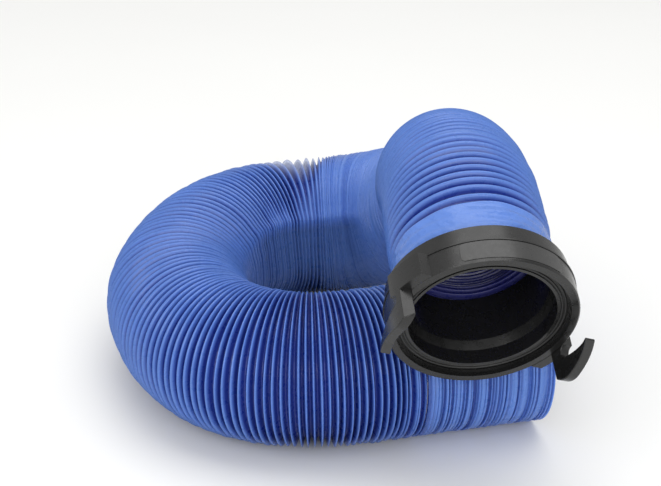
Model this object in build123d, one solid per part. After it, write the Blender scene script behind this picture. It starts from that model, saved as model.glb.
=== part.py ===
from build123d import *
import math
import os

# Compressed 3-inch sewer hose in an open loop, with a bayonet fitting on its raised end.
# Millimetres, +Z up, origin on the floor under the middle of the whole object.

os.makedirs("parts", exist_ok=True)

# ---- hose ----------------------------------------------------------------------------
HOSE_OD = 88.0              # outside, over the pleats
HOSE_BORE_R = 38.3          # inside, over the pleats
OUTER_PLY = 1.60            # pleated vinyl outside the wire
WIRE_SHELL = 0.40           # the wire helix, gathered into a thin shell of its volume
PLY_GAP = 0.05
ARC_SHARE = 0.45            # tangent length of an arc, as a share of its shorter run

# Route of the hose's centre line, from the cut end on the floor to the fitting.
ROUTE = [
    (117.0, -47.0, 44.0),
    (55.5, -62.5, 44.0),
    (-3.5, -81.0, 44.0),
    (-48.5, -71.5, 44.0),
    (-79.5, -37.5, 44.0),
    (-96.5, 30.5, 44.0),
    (-65.5, 120.5, 44.0),
    (28.5, 138.5, 44.0),
    (81.5, 86.5, 79.0),
    (70.5, 18.5, 121.0),
    (73.5, -29.5, 131.0),
    (73.7, -84.0, 133.4),
    (78.2, -127.2, 112.9),
]
EDGES_PER_LENGTH = 4        # arcs and runs in each length of a ply

# ---- fitting: radius, and depth behind the mouth's front face --------------------------
RUN = 0.05                  # running clearance between the collar and the hub
COLLAR_R = 50.0
MOUTH_R = 45.5
COLLAR_DEPTH = 14.0
COLLAR_LIP_R = 41.0
COLLAR_LIP_DEPTH = 10.0
COLLAR_EDGE = 0.8
RIDGE_R = 50.4
RIDGE_WIDTH = 1.0

FACE_DEPTH = 3.4            # hub face, behind the collar's front edge
BORE_R = 38.7
BORE_DEPTH = 12.0
TAPER_DEPTH = 17.0
NECK_BORE_R = 36.6
NECK_R = 38.25
NECK_DEPTH = 45.0
NECK_ENTRY = 1.0

SEAL_IN_R = 40.3
SEAL_OUT_R = 44.4
SEAL_DEPTH = 7.0
SEAL_BODY_DEPTH = 4.2
SEAL_LIP = 0.7
SEAL_LIPS = (41.4, 43.3)

RETAINER_R = 48.8
RETAINER_REAR_R = 48.4
RETAINER_WALL = 3.0
RETAINER_WEB_DEPTH = 17.5
RETAINER_DEPTH = 24.4
RETAINER_EDGE = 0.5

# ---- hooks: unrolled outline, along the rim (anticlockwise) and forward of the face ----
HOOK_IN_R = 49.6
HOOK_OUT_R = 55.0
HOOK_CLOCK = 3.7            # hour that the middle of a hook points to, from the front
HOOK_COUNT = 2
BLOCK_START = -26.0
SLOT_START = -4.1
SLOT_WIDTH = 7.4
HOOK_TIP = (20.2, 14.2)
HOOK_TIP_WIDTH = 1.2
HOOK_CROWN = (-15.2, 21.0)
HOOK_HEEL = -18.6
CROWN_FILLET = 11.0
TIP_FILLET = 0.5
HOOK_EDGE = 0.6             # rounding of a hook's edges forward of the ring
HEEL_BEVEL_CLOCKS = (4.28, 4.12)
OUTLINE_REACH = 70.0

# ---- label ---------------------------------------------------------------------------
LABEL_CLOCK = 12.46
LABEL_LENGTH = 54.0
LABEL_WIDTH = 11.0
LABEL_DEPTH = 7.0
LABEL_THICK = 0.25
LABEL_CORNER = 2.2


def turn_angle(before, corner, after):
    first = Vector(corner) - Vector(before)
    second = Vector(after) - Vector(corner)
    return math.radians(first.get_angle(second))


def route_radii(points):
    radii = []
    for before, corner, after in zip(points, points[1:], points[2:]):
        first = (Vector(corner) - Vector(before)).length
        second = (Vector(after) - Vector(corner)).length
        half = turn_angle(before, corner, after) / 2
        radii.append(ARC_SHARE * min(first, second) / math.tan(half))
    return radii


RADII = route_radii(ROUTE)
PATH = FilletPolyline(*ROUTE, radius=RADII)


def path_lengths():
    """The path's edges in groups: the cut end's straight run, then even groups."""
    edges = PATH.edges()
    groups = [edges[:1]]
    for start in range(1, len(edges), EDGES_PER_LENGTH):
        groups.append(edges[start:start + EDGES_PER_LENGTH])
    return groups


def tube_length(edges, inner_r, outer_r):
    wire = Wire(edges)
    plane = Plane(origin=wire @ 0, z_dir=wire % 0)
    ring = plane * (Circle(outer_r) - Circle(inner_r))
    return sweep(ring, path=wire)


def tube(groups, inner_r, outer_r):
    return Compound([tube_length(edges, inner_r, outer_r).solid() for edges in groups])


def mouth_plane():
    """At the middle of the mouth's front face: X to its right, Y up, Z out of it."""
    axis = (Vector(ROUTE[-1]) - Vector(ROUTE[-2])).normalized()
    centre = Vector(ROUTE[-1]) + axis * RETAINER_WEB_DEPTH
    right = Vector(0, 0, 1).cross(axis)
    return Plane(origin=centre, x_dir=right, z_dir=axis)


MOUTH = mouth_plane()


def clock_angle(hour):
    """Degrees from the mouth's +X for an hour on a clock face seen from the front."""
    return 90.0 - 30.0 * hour


def on_rim(radius, hour):
    angle = math.radians(clock_angle(hour))
    return (radius * math.cos(angle), radius * math.sin(angle))


def turned(points):
    """A ring whose section is given as (radius, height) about the mouth's axis."""
    return revolve(make_face(Plane.XZ * Polyline(*points, close=True)), Axis.Z)


def hub():
    flange_r = MOUTH_R - RUN
    body_r = COLLAR_LIP_R - RUN
    return turned([
        (BORE_R, -FACE_DEPTH),
        (SEAL_IN_R, -FACE_DEPTH),
        (SEAL_IN_R, -SEAL_DEPTH),
        (SEAL_OUT_R, -SEAL_DEPTH),
        (SEAL_OUT_R, -FACE_DEPTH),
        (flange_r, -FACE_DEPTH),
        (flange_r, RUN - COLLAR_LIP_DEPTH),
        (body_r, RUN - COLLAR_LIP_DEPTH),
        (body_r, -RETAINER_WEB_DEPTH),
        (NECK_R, -RETAINER_WEB_DEPTH),
        (NECK_R, NECK_ENTRY - NECK_DEPTH),
        (NECK_R - NECK_ENTRY, -NECK_DEPTH),
        (NECK_BORE_R, -NECK_DEPTH),
        (NECK_BORE_R, -TAPER_DEPTH),
        (BORE_R, -BORE_DEPTH),
    ])


def seal():
    ring = turned([
        (SEAL_IN_R, -SEAL_DEPTH),
        (SEAL_OUT_R, -SEAL_DEPTH),
        (SEAL_OUT_R, -SEAL_BODY_DEPTH),
        (SEAL_IN_R, -SEAL_BODY_DEPTH),
    ])
    for lip_r in SEAL_LIPS:
        ring += Pos(0, 0, -SEAL_BODY_DEPTH) * Torus(lip_r, SEAL_LIP)
    return ring


def retainer():
    front = -COLLAR_DEPTH - RUN
    skirt_r = RETAINER_R - RETAINER_WALL
    return turned([
        (COLLAR_LIP_R - RUN, front),
        (RETAINER_R - RETAINER_EDGE, front),
        (RETAINER_R, front - RETAINER_EDGE),
        (RETAINER_REAR_R, RETAINER_EDGE - RETAINER_DEPTH),
        (RETAINER_REAR_R - RETAINER_EDGE, -RETAINER_DEPTH),
        (skirt_r, -RETAINER_DEPTH),
        (skirt_r, -RETAINER_WEB_DEPTH),
        (COLLAR_LIP_R - RUN, -RETAINER_WEB_DEPTH),
    ])


def collar_ring():
    return turned([
        (MOUTH_R, 0),
        (COLLAR_R - COLLAR_EDGE, 0),
        (COLLAR_R, -COLLAR_EDGE),
        (COLLAR_R, RIDGE_WIDTH - COLLAR_DEPTH),
        (RIDGE_R, RIDGE_WIDTH - COLLAR_DEPTH),
        (RIDGE_R, -COLLAR_DEPTH),
        (COLLAR_LIP_R, -COLLAR_DEPTH),
        (COLLAR_LIP_R, -COLLAR_LIP_DEPTH),
        (MOUTH_R, -COLLAR_LIP_DEPTH),
    ])


def rim_shell(inner_r, outer_r, low, high):
    shell = Cylinder(outer_r, high - low) - Cylinder(inner_r, high - low)
    return Pos(0, 0, (low + high) / 2) * shell


def rim_plane(hour):
    """Faces outward from the axis: X anticlockwise along the rim, Y forward."""
    angle = math.radians(clock_angle(hour))
    outward = (math.cos(angle), math.sin(angle), 0)
    along = (-math.sin(angle), math.cos(angle), 0)
    return Plane(origin=(0, 0, 0), x_dir=along, z_dir=outward)


def hook_outline():
    slot_mid = (SLOT_START - SLOT_WIDTH / 2, SLOT_WIDTH / 2)
    tip_front = (HOOK_TIP[0], HOOK_TIP[1] + HOOK_TIP_WIDTH)
    with BuildSketch() as sketch:
        with BuildLine():
            Polyline(
                (SLOT_START, 0),
                (SLOT_START, -COLLAR_DEPTH),
                (BLOCK_START, -COLLAR_DEPTH),
                (BLOCK_START, 0),
                (HOOK_HEEL, 0),
                HOOK_CROWN,
                tip_front,
                HOOK_TIP,
                (SLOT_START, SLOT_WIDTH),
            )
            ThreePointArc((SLOT_START, SLOT_WIDTH), slot_mid, (SLOT_START, 0))
        make_face()
        crown = sketch.vertices().sort_by_distance(HOOK_CROWN)[0]
        fillet(crown, CROWN_FILLET)
        tip = sketch.vertices().sort_by_distance(tip_front)[:2]
        fillet(tip, TIP_FILLET)
    return sketch.sketch


def heel_bevel():
    """Slants the hook's clockwise end, from its inner edge to its outer one."""
    inner_clock, outer_clock = HEEL_BEVEL_CLOCKS
    corner = on_rim(HOOK_OUT_R + HOOK_IN_R, inner_clock)
    inner = Vector(*on_rim(HOOK_IN_R, inner_clock))
    slope = Vector(*on_rim(HOOK_OUT_R, outer_clock)) - inner
    start = inner - slope
    end = inner + slope * 3
    face = make_face(Polyline(start, end, corner, close=True))
    return extrude(face, HOOK_CROWN[1] + 1)


def hook():
    blank = extrude(rim_plane(HOOK_CLOCK) * hook_outline(), OUTLINE_REACH)
    shell = rim_shell(HOOK_IN_R, HOOK_OUT_R, -COLLAR_DEPTH, HOOK_CROWN[1] + 1)
    sharp = (blank & shell) - heel_bevel()
    edges = [edge for edge in sharp.edges() if edge.center().Z > HOOK_EDGE]
    return fillet(edges, HOOK_EDGE)


def collar():
    body = collar_ring()
    for number in range(HOOK_COUNT):
        body += Rot(0, 0, number * 360 / HOOK_COUNT) * hook()
    return body


def label():
    outline = RectangleRounded(LABEL_LENGTH, LABEL_WIDTH, LABEL_CORNER)
    outline = rim_plane(LABEL_CLOCK) * Pos(0, -LABEL_DEPTH) * outline
    shell = rim_shell(COLLAR_R, COLLAR_R + LABEL_THICK, RIDGE_WIDTH - COLLAR_DEPTH, 0)
    return extrude(outline, OUTLINE_REACH) & shell


def write(name, part):
    export_step(part, os.path.join("parts", name + ".step"))


def ply_radii():
    """(inner, outer) radii of the inner ply, the wire's shell and the outer ply."""
    outer = HOSE_OD / 2
    wire_out = outer - OUTER_PLY - PLY_GAP
    wire_in = wire_out - WIRE_SHELL
    return [
        (HOSE_BORE_R, wire_in - PLY_GAP),
        (wire_in, wire_out),
        (outer - OUTER_PLY, outer),
    ]


def hose():
    inner, wire, outer = ply_radii()
    groups = path_lengths()
    wound = PATH.edges()[:-1]
    plies = {
        "hose_inner_ply": (groups, inner),
        "hose_wire": ([wound], wire),
        "hose_outer_ply": (groups, outer),
    }
    for name, (lengths, (inner_r, outer_r)) in plies.items():
        part = tube(lengths, inner_r, outer_r)
        write(name, part)
        run = sum(edge.length for edges in lengths for edge in edges)
        swept = math.pi * (outer_r ** 2 - inner_r ** 2) * run
        print(f"{name}: volume {part.volume:.0f}, section times length {swept:.0f}")


def main():
    print("arc radii:", [round(radius, 1) for radius in RADII])
    print(f"hose centre line: {PATH.length:.1f}")
    print(f"straight run at the cut end: {PATH.edges()[0].length:.2f}")
    print("mouth centre:", [round(v, 3) for v in MOUTH.origin])
    print("mouth axis:", [round(v, 5) for v in MOUTH.z_dir])
    hose()
    fitting = {
        "adapter_hub": hub(),
        "face_seal": seal(),
        "collar_retainer": retainer(),
        "bayonet_collar": collar(),
        "collar_label": label(),
    }
    for name, part in fitting.items():
        write(name, MOUTH.location * part)


main()
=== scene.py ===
import math

import bpy
import numpy as np
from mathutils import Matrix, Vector


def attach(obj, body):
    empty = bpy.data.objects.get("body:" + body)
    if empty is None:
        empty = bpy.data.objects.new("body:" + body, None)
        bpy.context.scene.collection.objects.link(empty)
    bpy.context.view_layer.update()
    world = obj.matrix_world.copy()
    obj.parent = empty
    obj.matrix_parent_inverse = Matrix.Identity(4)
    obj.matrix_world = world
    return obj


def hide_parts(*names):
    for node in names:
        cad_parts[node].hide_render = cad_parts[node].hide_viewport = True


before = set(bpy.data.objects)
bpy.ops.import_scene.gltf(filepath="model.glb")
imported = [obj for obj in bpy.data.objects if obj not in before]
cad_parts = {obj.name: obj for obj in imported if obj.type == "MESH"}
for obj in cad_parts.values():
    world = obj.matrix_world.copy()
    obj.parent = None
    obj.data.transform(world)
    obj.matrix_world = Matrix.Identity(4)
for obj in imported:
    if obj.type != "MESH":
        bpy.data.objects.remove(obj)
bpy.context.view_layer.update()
ROOT = "hose_and_hub"

# ---- the hose's route: the same points as in part.py, in metres -------------------------
ROUTE = [
    (0.1170, -0.0470, 0.0440),
    (0.0555, -0.0625, 0.0440),
    (-0.0035, -0.0810, 0.0440),
    (-0.0485, -0.0715, 0.0440),
    (-0.0795, -0.0375, 0.0440),
    (-0.0965, 0.0305, 0.0440),
    (-0.0655, 0.1205, 0.0440),
    (0.0285, 0.1385, 0.0440),
    (0.0815, 0.0865, 0.0790),
    (0.0705, 0.0185, 0.1210),
    (0.0735, -0.0295, 0.1310),
    (0.0737, -0.0840, 0.1334),
    (0.0782, -0.1272, 0.1129),
]
ROUTE_STEPS = 48            # points read from each span of the spline

# ---- hose --------------------------------------------------------------------------------
BEND_REACH = 0.014          # the bends are smoothed over this distance
LINE_STEPS = 800            # even steps along the line, for that smoothing
PITCH_STEPS = 6000          # steps along the line, for counting the turns
CREST_R = 0.0436
CREST_UNEVEN = 0.00022      # how much the crests differ in radius
CREST_LIMITS = (-0.0007, 0.0003)
LINING_R = 0.0405           # the lining at a crest, inside the wire
LINING_GAP = 0.0004         # least room between the film and its lining
LINING_FOLD = 0.35          # depth of the lining's folds, as a share of the film's
CUFF_R = 0.0431
CUFF_LENGTH = 0.0240        # smooth film drawn over the hub's neck
CUFF_BLEND = 0.0050
CUFF_CREASE = 0.0004
CUFF_FOLD = 0.0005
CUFF_WALL = 0.0022          # from the cuff's outside to its lining
EXIT_OUT = 0.0180           # the exit lies between the axis and the wall of the hub's neck
AROUND = 88                 # points around the hose
PER_TURN = 8                # rows in each pleat
WIRE_R = 0.00035
WIRE_AT = 0.0412
WIRE_AROUND = 6
WIRE_STEPS = 44             # points in each turn of the wire
WIRE_SHORT = 3.2            # turns by which the wire ends before the film
SEED = 11

# Random knots in each turn, for a turn's place, its crest's radius and its fold's depth.
SHIFT_KNOTS = 2.3
CREST_KNOTS = 1.7
SLACK_KNOTS = 0.9

# The cut end's turns lie unevenly, up to this stretch. A turn moves by a share of its spacing.
LOOSE_STRETCH = (0.070, 0.110)
SHIFT_ANYWHERE = 0.03
SHIFT_LOOSE = 0.20

# Folds differ in depth, mostly where they lie closer together than this.
TIGHT_SPACING = (0.0022, 0.0032)
SLACK = 0.35
SLACK_LIMITS = (0.25, 1.5)
SLACK_ANYWHERE = 0.15
PAINTED_SHADE_FULL_DEPTH = 0.005           # a fold this deep has the full painted shade

# Spacing of the pleats on the outside of the bends: (distance from the cut end, spacing).
SPACINGS = [
    (0.000, 0.0021),
    (0.070, 0.0022),
    (0.084, 0.0028),
    (0.095, 0.0036),
    (0.115, 0.0041),
    (0.150, 0.0048),
    (0.180, 0.0050),
    (0.215, 0.0058),
    (0.255, 0.0072),
    (0.340, 0.0078),
    (0.395, 0.0066),
    (0.425, 0.0042),
    (0.436, 0.0027),
    (0.460, 0.0024),
    (0.540, 0.0026),
    (0.575, 0.0040),
    (0.620, 0.0056),
    (0.650, 0.0072),
    (0.690, 0.0072),
    (0.705, 0.0060),
    (0.730, 0.0064),
    (0.800, 0.0075),
]
# Depth and sharpness of the pleats against their local spacing.
DEPTHS = [(0.0010, 0.0003), (0.0016, 0.0007), (0.0022, 0.0014), (0.0028, 0.0046),
          (0.0034, 0.0062), (0.0050, 0.0054), (0.0070, 0.0048)]
SHARPNESS = [(0.0010, 2.4), (0.0022, 2.0), (0.0028, 0.82), (0.0048, 0.75), (0.0070, 0.66)]

# The few turns pulled apart at the back of the loop, most of all at GAP_TURN from the top.
GAP_AT = 0.415
GAP_TURN = math.radians(-30)
GAP_PULL = 0.0080
GAP_WIDTH = 0.0090
GAP_REACH = 0.0450
SHEER_WIDTH = 1.3 * GAP_WIDTH

# The loop's inner wall at the back, pressed flat by its bunched turns. Angles are in
# degrees from the top, towards the inside of the loop.
WALL_START = (0.26, 0.40)
WALL_END = (0.45, 0.51)
WALL_SINK = 0.0022
WALL_BOTTOM = (150, 176)
RIM = 0.0018
RIM_TURN = 63.0
RIM_SPREAD = 5.0
RIM_TO_WALL = (RIM_TURN + 2, RIM_TURN + 12)
BULGE = 0.0055
BULGE_START = (88, 118)
BULGE_END = (150, 178)

# ---- colours -----------------------------------------------------------------------------
FILM_CREST = (0.127, 0.262, 0.710)
# painted shade: the colour of the pleats' valleys, darker than the crest for their shade
FILM_FOLD_PAINTED_SHADE = (0.023, 0.048, 0.335)
FILM_DRAWN = (0.62, 0.68, 0.86)       # pale where the turns are pulled apart
# painted shade: the lining inside the hose is coloured a darker blue for the shade there, and
# darker still in its folds
LINING_PAINTED_SHADE = (0.036, 0.040, 0.270)
LINING_FOLD_PAINTED_SHADE = (0.026, 0.030, 0.210)
CLOUDY = 1.25               # the crest's lightest patches, against its own colour
WALL_PAINTED_SHADE = 0.62           # painted shade on the loop's inner wall, as a share of the crest's colour

# ---- lights: name, place, target, size, power ----------------------------------------------
LIGHTS = [
    ("overhead", (0.1, 0.15, 1.4), (0, 0, 0), (1.3, 1.1), 8.5),
    ("front_left", (-1.1, -1.1, 1.3), (0, 0, 0.05), (0.9, 0.9), 4.0),
    ("front_fill", (0.2, -1.7, 0.8), (0, 0, 0.05), (1.6, 0.9), 14.0),
]
SKY_LOW = 0.70              # the sky's strength at the horizon
SKY_HIGH = 0.76             # and from SKY_TURN upward
SKY_TURN = 0.9
FLOOR_REACH = 6.0

# ---- camera: eye and lens that match the photograph's view --------------------------------
EYE = (0.0015, -0.9215, 0.4940)
PITCH_DOWN = math.radians(23.83)
LENS = 92.57
SENSOR = 36.0


def make_camera():
    data = bpy.data.cameras.new("camera")
    data.lens = LENS
    data.sensor_width = SENSOR
    camera = bpy.data.objects.new("camera", data)
    camera.location = EYE
    camera.rotation_euler = (math.pi / 2 - PITCH_DOWN, 0.0, 0.0)
    bpy.context.scene.collection.objects.link(camera)
    bpy.context.scene.camera = camera


def link(name, mesh):
    piece = bpy.data.objects.new(name, mesh)
    bpy.context.scene.collection.objects.link(piece)
    return piece


# ---- the hose's centre line and frames -----------------------------------------------------
def route_line():
    """Points along one smooth NURBS curve with the route's points as control points."""
    curve = bpy.data.curves.new("route", "CURVE")
    curve.dimensions = "3D"
    spline = curve.splines.new("NURBS")
    spline.points.add(len(ROUTE) - 1)
    for point, place in zip(spline.points, ROUTE):
        point.co = (*place, 1.0)
    spline.order_u = 3
    spline.use_endpoint_u = True
    spline.resolution_u = ROUTE_STEPS
    holder = link("route", curve)
    mesh = bpy.data.meshes.new_from_object(holder)
    points = np.array([v.co[:] for v in mesh.vertices])
    bpy.data.objects.remove(holder)
    bpy.data.curves.remove(curve)
    bpy.data.meshes.remove(mesh)
    return points


class Line:
    """The centre line by distance, with a frame that doesn't twist."""

    def __init__(self, points):
        steps = np.linalg.norm(np.diff(points, axis=0), axis=1)
        self.points = points
        self.at = np.concatenate([[0.0], np.cumsum(steps)])
        self.length = self.at[-1]
        tangents = np.gradient(points, self.at, axis=0)
        self.tangents = tangents / np.linalg.norm(tangents, axis=1)[:, None]
        normals = np.zeros_like(points)
        normal = np.array([0.0, 0.0, 1.0])
        for i, tangent in enumerate(self.tangents):
            normal = normal - tangent * (normal @ tangent)
            normal /= np.linalg.norm(normal)
            normals[i] = normal
        self.normals = normals
        self.sides = np.cross(self.tangents, normals)
        self.bends = self.smooth(np.gradient(self.tangents, self.at, axis=0), BEND_REACH)

    def smooth(self, values, reach):
        even = np.linspace(0.0, self.length, LINE_STEPS)
        taps = np.arange(-2.5 * reach, 2.5 * reach, even[1])
        weights = np.exp(-(taps / reach) ** 2)
        weights /= weights.sum()
        columns = []
        for k in range(3):
            column = np.interp(even, self.at, values[:, k])
            padded = np.pad(column, len(taps) // 2, mode="edge")
            spread = np.convolve(padded, weights, mode="same")[len(taps) // 2:][:len(even)]
            columns.append(np.interp(self.at, even, spread))
        return np.stack(columns, axis=-1)

    def read(self, values, s):
        return np.stack([np.interp(s, self.at, values[:, k]) for k in range(3)], axis=-1)

    def outward(self, s, angle):
        out = self.read(self.normals, s) * np.cos(angle)[..., None]
        return out + self.read(self.sides, s) * np.sin(angle)[..., None]

    def place(self, s, angle, radius):
        """Points at distance s, turned by angle from the top, radius out."""
        inside = np.clip(s, 0.0, self.length)
        centre = self.read(self.points, inside)
        centre += self.read(self.tangents, inside) * (s - inside)[..., None]
        return centre + self.outward(inside, angle) * np.asarray(radius)[..., None]


def smooth_step(x, low, high):
    t = np.clip((x - low) / (high - low), 0.0, 1.0)
    return t * t * (3.0 - 2.0 * t)


def table(x, pairs):
    return np.interp(x, *zip(*pairs))


class Noise:
    """Smooth random values along the helix, with a few knots in each turn."""

    def __init__(self, rng, turns, per_turn):
        self.knots = rng.normal(size=int(turns * per_turn) + 12)
        self.per_turn = per_turn

    def __call__(self, turn):
        x = np.clip(turn * self.per_turn + 2.0, 1.0, len(self.knots) - 3.001)
        i = np.floor(x).astype(int)
        t = x - i
        a, b, c, d = (self.knots[i + k] for k in (-1, 0, 1, 2))
        return 0.5 * (2 * b + (c - a) * t + (2 * a - 5 * b + 4 * c - d) * t ** 2
                      + (3 * b - a - 3 * c + d) * t ** 3)


class Pleats:
    """Where each turn of the helix lies, and how deep its pleat is."""

    def __init__(self, line):
        rng = np.random.default_rng(SEED)
        self.line = line
        s = np.linspace(0.0, line.length, PITCH_STEPS)
        bend = np.linalg.norm(line.read(line.bends, s), axis=1)
        pitch = table(s, SPACINGS) / (1.0 + bend * CREST_R)
        turns = np.concatenate([[0.0], np.cumsum(np.diff(s) / pitch[1:])])
        self.s, self.pitch, self.turns = s, pitch, turns
        self.count = int(turns[-1]) - 1
        self.shift = Noise(rng, self.count, SHIFT_KNOTS)
        self.uneven = Noise(rng, self.count, CREST_KNOTS)
        self.slack = Noise(rng, self.count, SLACK_KNOTS)

    def spacing(self, s, angle):
        """The local spacing: wider outside a bend, and narrower inside it."""
        inside = np.clip(s, 0.0, self.line.length)
        bend = self.line.read(self.line.bends, inside)
        lean = (bend * self.line.outward(inside, angle)).sum(axis=-1)
        return np.interp(s, self.s, self.pitch) * (1.0 - lean * CREST_R)

    def pull(self, s, angle):
        """How far the turns beside the gap are moved along the hose."""
        side = (0.5 + 0.5 * np.cos(angle - GAP_TURN)) ** 2
        off = (s - GAP_AT) / GAP_WIDTH
        fade = np.exp(-((s - GAP_AT) / GAP_REACH) ** 2)
        return GAP_PULL * side * np.tanh(off) * fade

    def along(self, turn, angle):
        """Distance along the centre line of each point of the helix."""
        s = np.interp(turn, self.turns, self.s)
        spacing = self.spacing(s, angle)
        loose = 1.0 - smooth_step(s, *LOOSE_STRETCH)
        share = SHIFT_ANYWHERE + SHIFT_LOOSE * loose
        moved = self.shift(turn) * share * spacing * (1.0 - self.cuff(s))
        return s + moved + self.pull(s, angle), spacing

    def openness(self, s, angle):
        """How sheer the film is where the turns are pulled apart."""
        side = (0.5 + 0.5 * np.cos(angle - GAP_TURN)) ** 9
        return side * np.exp(-((s - GAP_AT) / SHEER_WIDTH) ** 2)

    def cuff(self, s):
        """0 on the pleats, and 1 on the smooth cuff over the hub's neck."""
        start = self.line.length - CUFF_LENGTH
        return smooth_step(s, start - CUFF_BLEND, start)


def grid_mesh(name, verts, rows, columns, attributes):
    """A helical sheet: column `columns` of row r is column 0 of row r + PER_TURN."""
    index = np.arange(rows * columns).reshape(rows, columns)
    quads = np.stack([index[:-1, :-1], index[:-1, 1:], index[1:, 1:], index[1:, :-1]], -1)
    last, first = index[:, -1], index[:, 0]
    count = rows - PER_TURN
    seam = np.stack([last[:count - 1], first[PER_TURN:rows - 1], first[PER_TURN + 1:rows],
                     last[1:count]], -1)
    faces = np.concatenate([quads.reshape(-1, 4), seam])
    mesh = bpy.data.meshes.new(name)
    mesh.from_pydata(verts.reshape(-1, 3), [], faces)
    mesh.shade_smooth()
    for key, values in attributes.items():
        layer = mesh.attributes.new(key, "FLOAT", "POINT")
        layer.data.foreach_set("value", values.astype(np.float32).ravel())
    return mesh


def loop_wall(s):
    """How far the inside of the loop is pressed into one flat wall."""
    return smooth_step(s, *WALL_START) * (1.0 - smooth_step(s, *WALL_END))


def on_wall(angle):
    turn = np.degrees(angle) % 360.0
    return smooth_step(turn, *RIM_TO_WALL) * (1.0 - smooth_step(turn, *WALL_BOTTOM))


def wall_shape(angle):
    """A rim above the wall, the wall itself, and a bulge at its foot."""
    turn = np.degrees(angle) % 360.0
    rim = RIM * np.exp(-((turn - RIM_TURN) / RIM_SPREAD) ** 2)
    foot = smooth_step(turn, *BULGE_START) * (1.0 - smooth_step(turn, *BULGE_END))
    return rim - WALL_SINK * on_wall(angle) + BULGE * foot


def fold_depth(pleats, turn, spacing):
    """Depth of the folds, which differ most where they lie close together."""
    slack = np.clip(1.0 + SLACK * pleats.slack(turn), *SLACK_LIMITS)
    tight = 1.0 - smooth_step(spacing, *TIGHT_SPACING)
    share = SLACK_ANYWHERE + (1.0 - SLACK_ANYWHERE) * tight
    return table(spacing, DEPTHS) * (1.0 + (slack - 1.0) * share)


def cuff_radius(s, angle, fold):
    """The cuff's wrinkled outside, with traces of its pleats."""
    creases = np.sin(angle * 7 + s * 700) * np.sin(angle * 3 - s * 420)
    return CUFF_R + CUFF_CREASE * creases - CUFF_FOLD * fold


def hose_film(pleats, name, lining):
    """The outer film, or the lining, which leaves room for the wire at each crest."""
    rows = pleats.count * PER_TURN
    row = np.arange(rows)[:, None]
    column = np.arange(AROUND)[None, :]
    turn = row / PER_TURN + column / AROUND
    angle = 2 * math.pi * column / AROUND + 0.0 * row
    s, spacing = pleats.along(turn, angle)
    cuff = pleats.cuff(s)
    phase = (row % PER_TURN) / PER_TURN
    wave = (1.0 - np.cos(2 * math.pi * phase)) / 2 + 0.0 * turn
    fold = wave ** table(spacing, SHARPNESS)
    depth = fold_depth(pleats, turn, spacing)
    wall = loop_wall(s)
    uneven = np.clip(pleats.uneven(turn) * CREST_UNEVEN, *CREST_LIMITS)
    radius = CREST_R + uneven + wall * wall_shape(angle) - depth * fold
    sleeve = cuff_radius(s, angle, fold)
    if lining:
        crest = LINING_R + wall * wall_shape(angle)
        radius = np.minimum(radius - LINING_GAP, crest - LINING_FOLD * depth * fold)
        sleeve = sleeve - CUFF_WALL
    radius = radius * (1.0 - cuff) + sleeve * cuff
    verts = pleats.line.place(s, angle, radius)
    before_pull = np.interp(turn, pleats.turns, pleats.s)
    attributes = {
        # fold: the mask for the painted shade in the pleats' valleys
        "fold": wave * (1.0 - cuff) * np.clip(depth / PAINTED_SHADE_FULL_DEPTH, 0.0, 1.0),
        "open": pleats.openness(before_pull, angle),
        "cuff": cuff + 0.0 * fold,
        # wall: the mask for the painted shade on the loop's inner wall
        "wall": wall * on_wall(angle),
    }
    return grid_mesh(name, verts, rows, AROUND, attributes)


def hose_wire(pleats):
    """The wire's helix, a thin tube between the film and its lining."""
    turn = np.arange(int((pleats.count - WIRE_SHORT) * WIRE_STEPS)) / WIRE_STEPS
    angle = 2 * math.pi * turn
    s, _ = pleats.along(turn, angle)
    radius = WIRE_AT + loop_wall(s) * wall_shape(angle)
    centre = pleats.line.place(s, angle, radius)
    out = pleats.line.outward(np.clip(s, 0.0, pleats.line.length), angle)
    ahead = pleats.line.read(pleats.line.tangents, s)
    around = 2 * math.pi * np.arange(WIRE_AROUND) / WIRE_AROUND
    ring = out[:, None] * np.cos(around)[None, :, None]
    ring = ring + ahead[:, None] * np.sin(around)[None, :, None]
    verts = centre[:, None] + ring * WIRE_R
    index = np.arange(len(turn) * WIRE_AROUND).reshape(len(turn), WIRE_AROUND)
    following = np.roll(index, -1, axis=1)
    quads = np.stack([index[:-1], following[:-1], following[1:], index[1:]], -1)
    faces = [list(quad) for quad in quads.reshape(-1, 4)]
    faces += [list(index[0][::-1]), list(index[-1])]
    mesh = bpy.data.meshes.new("hose_wire_helix")
    mesh.from_pydata(verts.reshape(-1, 3), [], faces)
    mesh.shade_smooth()
    return mesh


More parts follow.
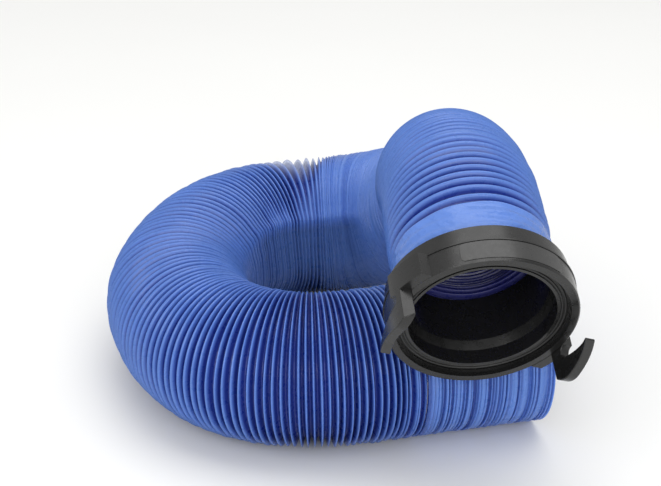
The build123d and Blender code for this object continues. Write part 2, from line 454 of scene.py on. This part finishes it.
# ---- materials ---------------------------------------------------------------------------
class Nodes:
    """A material's node tree, with short ways to add and join nodes."""

    def __init__(self, name):
        self.material = bpy.data.materials.new(name)
        self.material.use_nodes = True
        self.tree = self.material.node_tree
        self.tree.nodes.clear()
        self.out = self.add("ShaderNodeOutputMaterial")

    def add(self, kind, **settings):
        node = self.tree.nodes.new(kind)
        for key, value in settings.items():
            setattr(node, key, value)
        return node

    def join(self, source, target):
        self.tree.links.new(source, target)

    def shader(self, **values):
        node = self.add("ShaderNodeBsdfPrincipled")
        for key, value in values.items():
            node.inputs[key.replace("_", " ")].default_value = value
        return node

    def noise(self, scale, detail=3.0, roughness=0.5, stretch=(1, 1, 1)):
        place = self.add("ShaderNodeTexCoord")
        mapping = self.add("ShaderNodeMapping")
        mapping.inputs["Scale"].default_value = stretch
        noise = self.add("ShaderNodeTexNoise")
        noise.inputs["Scale"].default_value = scale
        noise.inputs["Detail"].default_value = detail
        noise.inputs["Roughness"].default_value = roughness
        self.join(place.outputs["Object"], mapping.inputs["Vector"])
        self.join(mapping.outputs["Vector"], noise.inputs["Vector"])
        return noise.outputs["Fac"]

    def span(self, value, low, high, to_low, to_high):
        node = self.add("ShaderNodeMapRange")
        for key, number in zip(("From Min", "From Max", "To Min", "To Max"),
                               (low, high, to_low, to_high)):
            node.inputs[key].default_value = number
        self.join(value, node.inputs["Value"])
        return node.outputs["Result"]

    def mix(self, factor, first, second):
        node = self.add("ShaderNodeMix", data_type="RGBA")
        self.join(factor, node.inputs["Factor"])
        for socket, value in ((node.inputs["A"], first), (node.inputs["B"], second)):
            if isinstance(value, tuple):
                socket.default_value = (*value, 1.0)
            else:
                self.join(value, socket)
        return node.outputs["Result"]

    def bump(self, height, strength, distance, under=None, amount=None):
        node = self.add("ShaderNodeBump")
        node.inputs["Strength"].default_value = strength
        node.inputs["Distance"].default_value = distance
        self.join(height, node.inputs["Height"])
        if under is not None:
            self.join(under, node.inputs["Normal"])
        if amount is not None:
            self.join(self.span(amount, 0.0, 1.0, 0.0, strength), node.inputs["Strength"])
        return node.outputs["Normal"]

    def attribute(self, name):
        return self.add("ShaderNodeAttribute", attribute_name=name).outputs["Fac"]


def film_colour(m, light, painted_fold_shade):
    """Cloudy crests, painted shade in the folds and on the loop's inner wall, and pale film where
    it is drawn out.
    """
    crest = m.mix(m.noise(38.0, 4.0), light, tuple(CLOUDY * value for value in light))
    # painted shade in the pleats' valleys
    colour = m.mix(m.span(m.attribute("fold"), 0.02, 0.46, 0.0, 1.0), crest, painted_fold_shade)
    # painted shade on the loop's inner wall
    painted_wall_shade = m.span(m.attribute("wall"), 0.0, 1.0, 0.0, 0.8)
    colour = m.mix(painted_wall_shade, colour, tuple(WALL_PAINTED_SHADE * value for value in light))
    drawn = m.span(m.attribute("open"), 0.10, 0.6, 0.0, 0.75)
    return m.mix(drawn, colour, FILM_DRAWN)


def sheer(m, film):
    """The film, half clear where its turns are pulled apart."""
    clear = m.add("ShaderNodeBsdfTransparent")
    clear.inputs["Color"].default_value = (0.92, 0.94, 1.0, 1.0)
    mixed = m.add("ShaderNodeMixShader")
    m.join(m.span(m.attribute("open"), 0.15, 0.7, 0.0, 0.50), mixed.inputs["Fac"])
    m.join(film, mixed.inputs[1])
    m.join(clear.outputs["BSDF"], mixed.inputs[2])
    return mixed.outputs["Shader"]


def vinyl(name, light, painted_fold_shade, glow_share, coat):
    m = Nodes(name)
    base = m.shader(IOR=1.5, Coat_Weight=coat, Coat_Roughness=0.10)
    colour = film_colour(m, light, painted_fold_shade)
    m.join(colour, base.inputs["Base Color"])
    m.join(m.span(m.noise(220.0), 0.3, 0.7, 0.22, 0.38), base.inputs["Roughness"])
    grain = m.bump(m.noise(900.0, 2.0), 0.08, 0.0002)
    crease = m.bump(m.noise(60.0, 3.0, 0.6, (1, 1, 3)), 0.6, 0.0030, grain,
                    m.attribute("cuff"))
    m.join(crease, base.inputs["Normal"])
    glow = m.add("ShaderNodeBsdfTranslucent")
    m.join(colour, glow.inputs["Color"])
    film = m.add("ShaderNodeMixShader")
    film.inputs["Fac"].default_value = glow_share
    m.join(base.outputs["BSDF"], film.inputs[1])
    m.join(glow.outputs["BSDF"], film.inputs[2])
    m.join(sheer(m, film.outputs["Shader"]), m.out.inputs["Surface"])
    return m.material


def moulded_black():
    m = Nodes("moulded_black_abs")
    base = m.shader(IOR=1.5)
    colour = m.mix(m.noise(30.0, 4.0), (0.0055, 0.0055, 0.0056), (0.0110, 0.0110, 0.0112))
    m.join(colour, base.inputs["Base Color"])
    m.join(m.span(m.noise(160.0, 5.0), 0.3, 0.7, 0.20, 0.36), base.inputs["Roughness"])
    m.join(m.bump(m.noise(1400.0, 2.0), 0.12, 0.0002), base.inputs["Normal"])
    m.join(base.outputs["BSDF"], m.out.inputs["Surface"])
    return m.material


def seal_rubber():
    m = Nodes("seal_rubber")
    base = m.shader(IOR=1.5)
    colour = m.mix(m.noise(60.0), (0.006, 0.006, 0.006), (0.012, 0.012, 0.012))
    m.join(colour, base.inputs["Base Color"])
    m.join(m.span(m.noise(300.0), 0.3, 0.7, 0.38, 0.55), base.inputs["Roughness"])
    m.join(m.bump(m.noise(1500.0, 2.0), 0.2, 0.0002), base.inputs["Normal"])
    m.join(base.outputs["BSDF"], m.out.inputs["Surface"])
    return m.material


def label_film():
    m = Nodes("label_film")
    base = m.shader(IOR=1.45, Coat_Weight=0.2, Coat_Roughness=0.15)
    colour = m.mix(m.noise(90.0), (0.020, 0.020, 0.020), (0.034, 0.034, 0.034))
    m.join(colour, base.inputs["Base Color"])
    m.join(m.span(m.noise(400.0), 0.3, 0.7, 0.25, 0.42), base.inputs["Roughness"])
    m.join(m.bump(m.noise(260.0, 3.0), 0.15, 0.0003), base.inputs["Normal"])
    m.join(base.outputs["BSDF"], m.out.inputs["Surface"])
    return m.material


def spring_steel():
    m = Nodes("spring_steel_wire")
    base = m.shader(Metallic=1.0)
    colour = m.mix(m.noise(200.0), (0.42, 0.43, 0.45), (0.62, 0.63, 0.65))
    m.join(colour, base.inputs["Base Color"])
    m.join(m.span(m.noise(500.0), 0.3, 0.7, 0.25, 0.45), base.inputs["Roughness"])
    m.join(base.outputs["BSDF"], m.out.inputs["Surface"])
    return m.material


def floor_sheet():
    m = Nodes("studio_floor")
    base = m.shader(Roughness=0.55)
    colour = m.mix(m.noise(3.0, 3.0), (0.86, 0.86, 0.85), (0.90, 0.90, 0.89))
    m.join(colour, base.inputs["Base Color"])
    m.join(m.bump(m.noise(9.0, 2.0), 0.10, 0.002), base.inputs["Normal"])
    m.join(base.outputs["BSDF"], m.out.inputs["Surface"])
    return m.material


def dress(node, material):
    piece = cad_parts[node]
    piece.data.materials.clear()
    piece.data.materials.append(material)


def area_light(name, place, target, size, power):
    data = bpy.data.lights.new(name, "AREA")
    data.shape = "RECTANGLE"
    data.size, data.size_y = size
    data.energy = power
    light = bpy.data.objects.new(name, data)
    light.location = place
    aim = Vector(target) - Vector(place)
    light.rotation_euler = aim.to_track_quat("-Z", "Y").to_euler()
    bpy.context.scene.collection.objects.link(light)


def make_stage():
    mesh = bpy.data.meshes.new("floor")
    corners = [(-1, -1), (1, -1), (1, 1), (-1, 1)]
    mesh.from_pydata([(x * FLOOR_REACH, y * FLOOR_REACH, 0.0) for x, y in corners], [],
                     [(0, 1, 2, 3)])
    mesh.materials.append(floor_sheet())
    link("floor", mesh)
    bpy.context.scene.world = make_world()
    for light in LIGHTS:
        area_light(*light)
    bpy.context.scene.view_settings.view_transform = "Standard"


def make_world():
    """A white sky, a little brighter overhead than at the horizon."""
    world = bpy.data.worlds.new("studio")
    world.use_nodes = True
    tree = world.node_tree
    place = tree.nodes.new("ShaderNodeTexCoord")
    split = tree.nodes.new("ShaderNodeSeparateXYZ")
    span = tree.nodes.new("ShaderNodeMapRange")
    span.inputs["From Min"].default_value = 0.0
    span.inputs["From Max"].default_value = SKY_TURN
    span.inputs["To Min"].default_value = SKY_LOW
    span.inputs["To Max"].default_value = SKY_HIGH
    tree.links.new(place.outputs["Generated"], split.inputs["Vector"])
    tree.links.new(split.outputs["Z"], span.inputs["Value"])
    background = tree.nodes["Background"]
    background.inputs["Color"].default_value = (1.0, 1.0, 0.99, 1.0)
    tree.links.new(span.outputs["Result"], background.inputs["Strength"])
    return world


def add_piece(mesh, material, slot, *nodes):
    piece = link(mesh.name, mesh)
    piece.data.materials.append(material)
    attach(piece, ROOT)
    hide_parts(*nodes)
    return piece


def make_hose():
    line = Line(route_line())
    pleats = Pleats(line)
    outer = vinyl("blue_vinyl_film", FILM_CREST, FILM_FOLD_PAINTED_SHADE, 0.32, 0.2)
    # the lining's colours are painted shade for the inside of the hose
    inner = vinyl("blue_vinyl_lining", LINING_PAINTED_SHADE, LINING_FOLD_PAINTED_SHADE, 0.10, 0.0)
    skin = add_piece(hose_film(pleats, "hose_skin", False), outer, "blue_vinyl", "hose_outer_ply")
    lining = add_piece(hose_film(pleats, "hose_lining", True), inner, "blue_vinyl",
                       "hose_inner_ply")
    wire = add_piece(hose_wire(pleats), spring_steel(), "spring_wire", "hose_wire")
    leaving = line.place(line.length, 0.0, EXIT_OUT)
    print("hose line", line.length, "turns", pleats.count)


def dress_fitting():
    black = moulded_black()
    for node in ("adapter_hub", "bayonet_collar", "collar_retainer"):
        dress(node, black)
    dress("face_seal", seal_rubber())
    dress("collar_label", label_film())


def main():
    make_camera()
    make_stage()
    make_hose()
    dress_fitting()


main()
